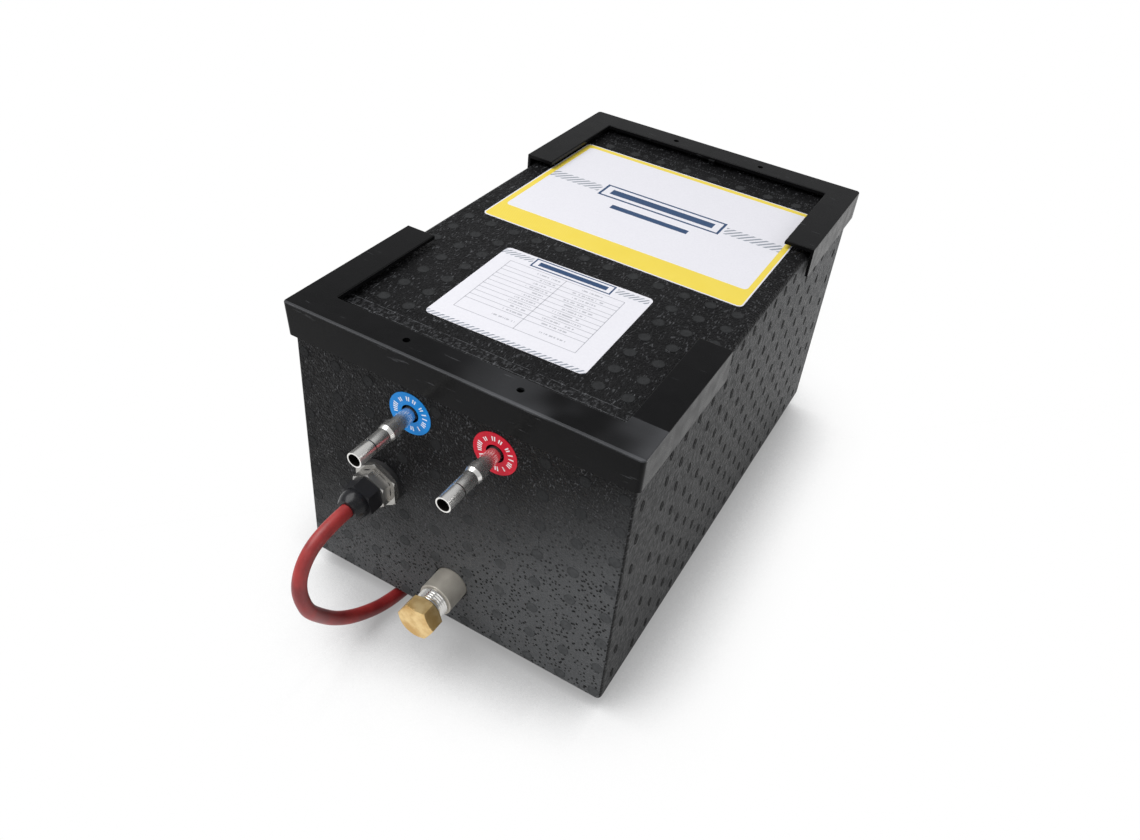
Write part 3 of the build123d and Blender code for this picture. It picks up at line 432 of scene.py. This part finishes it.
class Tree:
    """A Geometry Nodes tree with named inputs, built node by node."""

    def __init__(self, name):
        self.tree = bpy.data.node_groups.new(name, "GeometryNodeTree")
        self.tree.interface.new_socket("Geometry", in_out="INPUT",
                                       socket_type="NodeSocketGeometry")
        self.tree.interface.new_socket("Geometry", in_out="OUTPUT",
                                       socket_type="NodeSocketGeometry")
        self.entry = self.tree.nodes.new("NodeGroupInput")

    def size(self, name):
        self.tree.interface.new_socket(name, in_out="INPUT", socket_type="NodeSocketFloat")
        return self.entry.outputs[name]

    def node(self, kind, settings, inputs, output=0):
        node = self.tree.nodes.new(kind)
        for name, value in settings.items():
            setattr(node, name, value)
        for name, value in inputs.items():
            values = value if isinstance(value, list) else [value]
            for each in values:
                if isinstance(each, bpy.types.NodeSocket):
                    self.tree.links.new(each, node.inputs[name])
                else:
                    node.inputs[name].default_value = each
        return node.outputs[output]

    def times(self, value, factor):
        return self.node("ShaderNodeMath", {"operation": "MULTIPLY"}, {0: value, 1: factor})

    def close(self, geometry, material):
        real = self.node("GeometryNodeRealizeInstances", {}, {0: geometry})
        inputs = {"Geometry": real, "Material": material}
        dressed = self.node("GeometryNodeSetMaterial", {}, inputs)
        leave = self.tree.nodes.new("NodeGroupOutput")
        self.tree.links.new(dressed, leave.inputs[0])


def grown(name, base, tree, body, slot, **sizes):
    """Runs a tree on a base mesh and keeps what it made as one plain mesh on its body."""
    seed_object = bpy.data.objects.new(name + "_base", base)
    bpy.context.scene.collection.objects.link(seed_object)
    modifier = seed_object.modifiers.new("maker", "NODES")
    modifier.node_group = tree.tree
    for item in tree.tree.interface.items_tree:
        if item.in_out == "INPUT" and item.name in sizes:
            modifier[item.identifier] = sizes[item.name]
    bpy.context.view_layer.update()
    evaluated = seed_object.evaluated_get(bpy.context.evaluated_depsgraph_get())
    made = bpy.data.meshes.new_from_object(evaluated)
    bpy.data.objects.remove(seed_object)
    piece = bpy.data.objects.new(name, made)
    bpy.context.scene.collection.objects.link(piece)
    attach(piece, body)


# Painted shade makes the side slots near black; on the front the vents follow the foam's painted
# sheen.
vent_skin = Finish("vent_skin", Specular_IOR_Level=0.05)
vent_grain = vent_skin.noise(1400.0, 3.0)
vent_tone = vent_skin.noise(300.0, 3.0)
vent_on_top = vent_skin.z > top_z - skin_depth
vent_in_front = vent_skin.y < front_y + skin_depth
vent_pale_and_sheen = vent_skin.blend(vent_tone, colour(56, 57, 58), colour(88, 89, 90))
vent_dark_and_shade = vent_skin.blend(vent_tone, colour(3, 3, 3), colour(10, 10, 11))
vent_pale_and_sheen_share = vent_on_top * 0.42 + vent_in_front * (0.26 + floor_sheen_share(vent_skin) * 0.74)
vent_skin.put(Base_Color=vent_skin.blend(vent_pale_and_sheen_share, vent_dark_and_shade, vent_pale_and_sheen),
              Roughness=vent_grain.fade(0.3, 0.7, 0.36, 0.6),
              Normal=vent_skin.relief(vent_grain, 0.0003))

vents = Tree("steam_vents")
radius = vents.size("Radius")
plate_lift = vents.size("Plate Lift")
ring_lift = vents.size("Ring Lift")
slot_share = vents.size("Slot Share")
plate = vents.node("GeometryNodeMeshCone", {"fill_type": "NGON"},
                   {"Vertices": 14, "Radius Top": vents.times(radius, 0.9),
                    "Radius Bottom": radius, "Depth": plate_lift})
hoop = vents.node("GeometryNodeCurvePrimitiveCircle", {}, {"Resolution": 14, "Radius": radius})
section = vents.node("GeometryNodeCurvePrimitiveCircle", {},
                     {"Resolution": 3, "Radius": ring_lift})
ring = vents.node("GeometryNodeCurveToMesh", {}, {"Curve": hoop, "Profile Curve": section})
dot = vents.node("GeometryNodeMeshCone", {"fill_type": "NGON"},
                 {"Vertices": 6, "Radius Top": ring_lift,
                  "Radius Bottom": vents.times(ring_lift, 2.0), "Depth": ring_lift})
vent = vents.node("GeometryNodeJoinGeometry", {}, {0: [plate, ring, dot]})
facing = vents.node("GeometryNodeInputNamedAttribute", {"data_type": "FLOAT_VECTOR"},
                    {"Name": "facing"})
on_side = vents.node("GeometryNodeInputNamedAttribute", {"data_type": "BOOLEAN"},
                     {"Name": "on_side"})
width = vents.node("GeometryNodeSwitch", {"input_type": "FLOAT"},
                   {"Switch": on_side, "False": 1.0, "True": slot_share})
stretch = vents.node("ShaderNodeCombineXYZ", {}, {"X": 1.0, "Y": width, "Z": 1.0})
turned = vents.node("FunctionNodeAlignRotationToVector", {"axis": "Z"}, {"Vector": facing})
placed = vents.node("GeometryNodeInstanceOnPoints", {},
                    {"Points": vents.entry.outputs[0], "Instance": vent, "Rotation": turned,
                     "Scale": stretch})
vents.close(placed, vent_skin.material)

vent_sizes = {"Radius": vent_radius, "Plate Lift": 0.00012, "Ring Lift": 0.0003,
              "Slot Share": 0.56}
bodies_of_vents = {"sleeve_vents": ("housing", ("foam_sleeve", "front_end_cap")),
                   "rear_cap_vents": ("rear_end_cap", ("rear_end_cap",))}
for name, (body, carriers) in bodies_of_vents.items():
    chosen = [seat for seat in seats if seat[2] in carriers]
    base = bpy.data.meshes.new(name + "_points")
    base.from_pydata([tuple(place) for place, normal, owner in chosen], [], [])
    facings = base.attributes.new("facing", "FLOAT_VECTOR", "POINT")
    sides = base.attributes.new("on_side", "BOOLEAN", "POINT")
    for index, (place, normal, owner) in enumerate(chosen):
        facings.data[index].vector = normal
        sides.data[index].value = abs(normal.x) > 0.5
    grown(name, base, vents, body, "foam", **vent_sizes)

# The discs round the stubs are printed vinyl rings, blue for cold and red for hot water.
# The print on each is a plain ring of short white strokes.
stroke_count = 44
stroke_inner = 0.0091
stroke_outer = 0.0118
stroke_play = 0.0008
disc_inks = {"cold_disc": (-tube_spacing / 2, colour(0, 142, 224), colour(0, 124, 206)),
             "hot_disc": (tube_spacing / 2, colour(218, 0, 44), colour(194, 0, 36))}
for name, (offset, light, dark) in disc_inks.items():
    disc = Finish(name + "_print", Specular_IOR_Level=0.25)
    across = disc.x - (tube_shift + offset)
    upward = disc.z - tube_height
    reach = across.diagonal(upward)
    angle = across.math("ARCTAN2", upward, across)
    turn = (angle + math.pi) * (stroke_count / math.tau)
    gate = disc.chance(turn.floor(), 3.0, 5.0) > 0.32
    height = disc.chance(turn.floor(), 8.0, 1.0) * stroke_play
    ring_band = reach.within(stroke_inner, stroke_outer + height)
    stroke = turn.part().within(0.2, 0.74) * ring_band * gate
    print_tone = disc.blend(disc.noise(260.0), dark, light)
    disc.put(Base_Color=disc.blend(stroke, print_tone, colour(236, 238, 240)),
             Roughness=disc.noise(500.0).fade(0.3, 0.7, 0.36, 0.5),
             Normal=disc.relief(disc.noise(900.0), 0.00002))
    disc.dress(name)


# The labels are white film with a printed face, stuck on the top. The large one has a yellow
# frame and a boxed bar, the small one a ruled table with short strokes in its rows.
def paper(name, center, turn):
    """A printed film label, with its own flat coordinates from its middle, in metres."""
    finish = Finish(name, Coat_Weight=0.15)
    local = finish.node("ShaderNodeMapping", {"vector_type": "TEXTURE"},
                        {"Vector": finish.place, "Location": (*center, 0),
                         "Rotation": (0, 0, turn)})
    across, along, up = finish.split(local)
    fibre = finish.noise(900.0, 3.0)
    waves = finish.noise(30.0, 2.0)
    finish.put(Roughness=fibre.fade(0.3, 0.7, 0.38, 0.5),
               Normal=finish.relief(fibre + waves * 2.0, 0.00006))
    white = finish.blend(fibre, colour(221, 220, 226), colour(235, 234, 239))
    return finish, across, along, white


def panel(across, along, left, right, front, rear):
    return across.within(left, right) * along.within(front, rear)


def rounded(across, along, half_width, half_depth, corner):
    """A panel about the middle with round corners."""
    out_x = across.math("MAXIMUM", across.size() - (half_width - corner), 0.0)
    out_y = along.math("MAXIMUM", along.size() - (half_depth - corner), 0.0)
    return out_x.diagonal(out_y) < corner


def hatching(across, along, strips, pitch):
    """Slanting bars inside strips of the label, each given as left, right, front and rear."""
    bars = ((across - along * 0.9) / pitch).part() < 0.45
    return sum(panel(across, along, *strip) * bars for strip in strips)


def boxed_bar(across, along, box, line, bar):
    """A solid bar inside the outline of a box, each given as left, right, front and rear."""
    left, right, front, rear = box
    inside = panel(across, along, left + line, right - line, front + line, rear - line)
    return panel(across, along, *box) - inside + panel(across, along, *bar)


def navy_ink(finish):
    return finish.blend(finish.noise(200.0), colour(12, 52, 92), colour(22, 66, 108))


hatch_grey = colour(140, 146, 156)
large, across, along, white = paper("large_label_print", (0.0017, 0.059), 0.0)
fine_lines = ((across + along) / 0.0017).part() < 0.4
yellow = large.blend(large.noise(60.0) * 0.6 + fine_lines * 0.4, colour(230, 203, 54),
                     colour(240, 218, 92))
edge = rounded(across, along, 0.101, 0.079, 0.003)
field = rounded(across, along - 0.00845, 0.0967, 0.06575, 0.0035)
headline = boxed_bar(across, along, (-0.0515, 0.0502, 0.0025, 0.0225), 0.002,
                     (-0.044, 0.0427, 0.0085, 0.0165))
second_line = panel(across, along, -0.033, 0.031, -0.0125, -0.0065)
hatch = hatching(across, along, [(-0.0967, -0.0535, 0.0065, 0.0175),
                                 (0.0522, 0.0967, 0.0065, 0.0175)], 0.0052)
face = large.blend(edge, white, yellow)
face = large.blend(field, face, white)
face = large.blend(hatch, face, hatch_grey)
large.put(Base_Color=large.blend(headline + second_line, face, navy_ink(large)))
large.dress("large_label")

row_lines = (0.0343, 0.0268, 0.0221, 0.0159, 0.0113, 0.0059, 0.0006, -0.0044, -0.0097, -0.0151,
             -0.0204, -0.0329)
column_lines = (-0.045, -0.0018, 0.0413)
column_half_width = 0.0003
row_half_width = 0.00028
letter_pitch = 0.00062
letter_half_height = 0.00075
small, across, along, white = paper("small_label_print", (-0.0014, -0.0985), math.radians(1.2))
ink = small.blend(small.noise(300.0), colour(74, 78, 88), colour(104, 108, 118))
rules = sum(panel(across, along, x - column_half_width, x + column_half_width, row_lines[-1],
                  row_lines[0]) for x in column_lines)
rules = rules + sum(panel(across, along, column_lines[0], column_lines[-1], y - row_half_width,
                          y + row_half_width) for y in row_lines)
words = 0.0
for index, (rear, front) in enumerate(zip(row_lines, row_lines[1:])):
    middle = (rear + front) / 2
    letters = small.chance((across / letter_pitch).floor(), index + 0.5, 2.0) > 0.35
    line = along.within(middle - letter_half_height, middle + letter_half_height) * letters
    left = across.within(-0.022 + 0.0011 * (index * 5 % 7), -0.0045)
    right = across.within(0.012 - 0.0013 * (index * 3 % 5), 0.027 + 0.001 * (index * 4 % 6))
    words = words + line * (left + right)
headline = boxed_bar(across, along, (-0.0316, 0.029, 0.0365, 0.0478), 0.0012,
                     (-0.0272, 0.0246, 0.0398, 0.0446))
hatch = hatching(across, along, [(-0.0566, -0.0326, 0.0405, 0.0463),
                                 (0.0309, 0.0544, 0.0405, 0.0463),
                                 (-0.0555, 0.0555, -0.0487, -0.045)], 0.0036)
face = small.blend(hatch, white, hatch_grey)
face = small.blend(rules * 0.5 + words * 0.45, face, ink)
small.put(Base_Color=small.blend(headline, face, navy_ink(small)))
small.dress("small_label")

# The brackets clamp the foam at each end: black satin mouldings that lift off upwards.
# Handling has left fine scratches, and a painted highlight lies along the front edge and on the
# front of the flange.
edge_low = 0.2238
edge_high = 0.2247
edge_rear = -0.1968
flange_low = 0.2235
flange_rear = -0.17
skirt_face = -0.1984
bracket = Finish("bracket_plastic", Specular_IOR_Level=0.09)
scratches = bracket.noise(480.0, 4.0, bracket.moved(scale=(0.12, 1, 1))).fade(0.66, 0.72)
scratches = scratches * bracket.noise(30.0).fade(0.45, 0.6)
rub = bracket.noise(90.0, 4.0)
# Painted highlight along the front edge and on the front of the flange.
edge_highlight = bracket.z.fade(edge_low, edge_high) * (bracket.y < edge_rear)
flange_highlight = (bracket.y < flange_rear) * (bracket.z > flange_low) * bracket.x.fade(-0.03, 0.1)
flange_highlight = flange_highlight * bracket.noise(14.0, 2.0).fade(0.36, 0.6)
satin = bracket.blend(rub, colour(8, 8, 9), colour(16, 16, 17))
scratches_and_highlights = scratches * 0.3 + edge_highlight * 0.3 + flange_highlight * 0.42
bracket.put(Base_Color=bracket.blend(scratches_and_highlights, satin, colour(110, 111, 114)),
            Roughness=rub.fade(0.3, 0.7, 0.24, 0.34) - (bracket.y < skirt_face) * 0.08,
            Normal=bracket.relief(bracket.noise(1300.0, 2.0), 0.00003))
bracket.dress("front_bracket", "rear_bracket")

# The drain cap is cast brass with a rough face, turned flats and a seal ring under it.
# It unscrews from the nipple by hand or with a 24 mm key.
cap_face = -0.2338
brass = Finish("cast_brass", Metallic=1.0)
cast = brass.noise(1100.0, 3.0)
tarnish = brass.noise(110.0, 4.0)
on_face = brass.y < cap_face
brass.put(Base_Color=brass.blend(tarnish.fade(0.3, 0.7), colour(214, 176, 114),
                                 colour(247, 219, 162)),
          Roughness=cast.fade(0.3, 0.7, 0.34, 0.46) + on_face * 0.08,
          Normal=brass.relief(cast * (0.3 + on_face), 0.0003))
brass.dress("drain_cap")

# The mains lead is one 9.5 mm cable with a satin red rubber sheath. It leaves the gland, passes
# under the housing beside the middle skid, lies coiled behind it and ends in a moulded plug.
cable_diameter = 0.0095
cable_z = 0.00475
lead_route = [
    (-0.055, -0.2286, 0.113), (-0.055, -0.2472, 0.113), (-0.0568, -0.2635, 0.1031),
    (-0.0565, -0.2732, 0.0852), (-0.0535, -0.2715, 0.0645), (-0.0552, -0.261, 0.047),
    (-0.0548, -0.246, 0.0272), (-0.0518, -0.2275, 0.0138), (-0.0478, -0.2053, 0.0056),
    (-0.0446, -0.1815, cable_z), (-0.042, -0.1455, cable_z), (-0.0394, -0.085, cable_z),
    (-0.0378, 0.005, cable_z), (-0.039, 0.095, cable_z), (-0.042, 0.165, cable_z),
    (-0.0465, 0.225, cable_z), (-0.0524, 0.268, cable_z), (-0.056, 0.3, cable_z),
    (-0.056, 0.326, cable_z),
]
coil_y = 0.3355
half_turns = [(0.056, 0), (0.0498, 0), (0.0467, 0.0104), (0.0498, 0), (0.056, 0), (0.0622, 0)]
points_per_half_turn = 12
turn_x = -0.056
turn_z = cable_z
side = 1
for turn_radius, climb in half_turns:
    middle_x = turn_x + side * turn_radius
    reach = turn_radius / math.cos(math.pi / points_per_half_turn / 2)
    for index in range(points_per_half_turn):
        share = (index + 0.5) / points_per_half_turn
        swing = math.pi * share
        lead_route.append((middle_x - side * reach * math.cos(swing),
                           coil_y + side * reach * math.sin(swing), turn_z + climb * share))
    turn_x = turn_x + 2 * side * turn_radius
    turn_z = turn_z + climb
    side = -side
lead_route += [(-0.0622, 0.345, 0.01515), (-0.0622, 0.366, 0.01515), (-0.066, 0.39, 0.0172),
               (-0.074, 0.41, 0.0185), (-0.086, 0.428, 0.0185)]
lead_curve = bpy.data.curves.new("mains_lead", "CURVE")
lead_curve.dimensions = "3D"
lead_curve.bevel_depth = cable_diameter / 2
lead_curve.bevel_resolution = 5
lead_curve.resolution_u = 8
lead_curve.use_fill_caps = True
spline = lead_curve.splines.new("NURBS")
spline.points.add(len(lead_route) - 1)
for point, place in zip(spline.points, lead_route):
    point.co = (*place, 1.0)
spline.order_u = 3
spline.use_endpoint_u = True
lead = bpy.data.objects.new("mains_lead", lead_curve)
bpy.context.scene.collection.objects.link(lead)
sheath = Finish("cable_sheath")
rubber = sheath.noise(700.0, 3.0)
dust = sheath.noise(60.0, 4.0)
rubbed = sheath.blend(dust.fade(0.3, 0.7), colour(126, 30, 32), colour(164, 50, 48))
sheath.put(Base_Color=sheath.blend(rubber.fade(0.6, 0.75) * 0.2, rubbed, colour(186, 90, 84)),
           Roughness=dust.fade(0.3, 0.7, 0.36, 0.5),
           Normal=sheath.relief(rubber, 0.00006))
lead_curve.materials.append(sheath.material)
sheath.dress("cable_inner")
plug_rubber = moulded("plug_rubber", colour(46, 45, 46), colour(24, 24, 26), 0.5)
plug_rubber.dress("plug_body")
pin_brass = metal("pin_brass", colour(224, 196, 130), colour(176, 142, 80), 0.22)
pin_brass.dress("plug_pins")
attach(lead, "housing")
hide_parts("mains_cable", "cable_coil", "cable_tail")

# The studio: a wide pale floor with a painted shadow close to the object, a white surround, a
# large soft lamp above the front left, two weaker ones on the right, and the camera.
floor_reach = 40.0
shadow_reach = 0.085
floor_mesh = bpy.data.meshes.new("studio_floor")
floor_mesh.from_pydata([(-floor_reach, -floor_reach, 0), (floor_reach, -floor_reach, 0),
                        (floor_reach, floor_reach, 0), (-floor_reach, floor_reach, 0)],
                       [], [(0, 1, 2, 3)])
floor = bpy.data.objects.new("studio_floor", floor_mesh)
bpy.context.scene.collection.objects.link(floor)
ground = Finish("studio_floor", Roughness=0.9, Specular_IOR_Level=0.0)
camera_ray = ground.node("ShaderNodeLightPath", {}, {}, "Is Camera Ray")
mirror_ray = ground.node("ShaderNodeLightPath", {}, {}, "Is Glossy Ray")
# Painted shadow: close to the object the floor's colour darkens and its white glow fades.
painted_shadow_clearance = ground.node("ShaderNodeAmbientOcclusion", {"samples": 8},
                       {"Distance": shadow_reach}, "AO")
ground.put(Base_Color=ground.blend(painted_shadow_clearance.fade(0.45, 0.95), colour(150, 150, 151),
                                   colour(248, 248, 248)))
lit = Flow(ground, ground.shader.outputs[0])
white_light = ground.node("ShaderNodeEmission", {}, {"Strength": 1.0})
ground.mixed((camera_ray + mirror_ray) * painted_shadow_clearance.fade(0.5, 0.97, 0.3, 1.0), lit, white_light)
floor_mesh.materials.append(ground.material)

world = bpy.data.worlds.new("studio")
world.use_nodes = True
bpy.context.scene.world = world
sky = Shading(world.node_tree)
grey_sky = sky.node("ShaderNodeBackground", {}, {"Color": (0.5, 0.51, 0.53, 1), "Strength": 0.6})
white_sky = sky.node("ShaderNodeBackground", {}, {"Color": (1, 1, 1, 1), "Strength": 1.0})
camera_ray = sky.node("ShaderNodeLightPath", {}, {}, "Is Camera Ray")
mirror_ray = sky.node("ShaderNodeLightPath", {}, {}, "Is Glossy Ray")
sky.mixed(mirror_ray * 0.36 + camera_ray, grey_sky, white_sky)


def lamp(name, place, target, power, width, height):
    data = bpy.data.lights.new(name, "AREA")
    data.shape = "RECTANGLE"
    data.size = width
    data.size_y = height
    data.energy = power
    source = bpy.data.objects.new(name, data)
    source.location = place
    aim = Vector(target) - Vector(place)
    source.rotation_euler = aim.to_track_quat("-Z", "Y").to_euler()
    bpy.context.scene.collection.objects.link(source)


lamp("key_lamp", (-0.8, -0.6, 1.7), (0, 0, 0.1), 35, 1.5, 1.5)
lamp("front_lamp", (0.6, -1.8, 0.9), (0, -0.1, 0.1), 3, 1.2, 1.0)
lamp("side_lamp", (1.6, 0.9, 0.9), (0, 0, 0.1), 8, 1.0, 1.0)

camera_data = bpy.data.cameras.new("camera")
camera_data.sensor_fit = "HORIZONTAL"
camera_data.sensor_width = 36
camera_data.lens = 29.75
camera_data.shift_x = -0.0199
camera_data.shift_y = -0.0521
camera = bpy.data.objects.new("camera", camera_data)
right = Vector((0.87021, 0.48230, 0.10059))
upward = Vector((-0.35907, 0.48107, 0.79977))
forward = Vector((-0.33734, 0.73209, -0.59182))
camera_turn = Matrix((right, upward, -forward)).transposed()
camera.matrix_world = Matrix.Translation((0.2393, -0.5357, 0.5455)) @ camera_turn.to_4x4()
bpy.context.scene.collection.objects.link(camera)
bpy.context.scene.camera = camera
bpy.context.scene.view_settings.view_transform = "Standard"
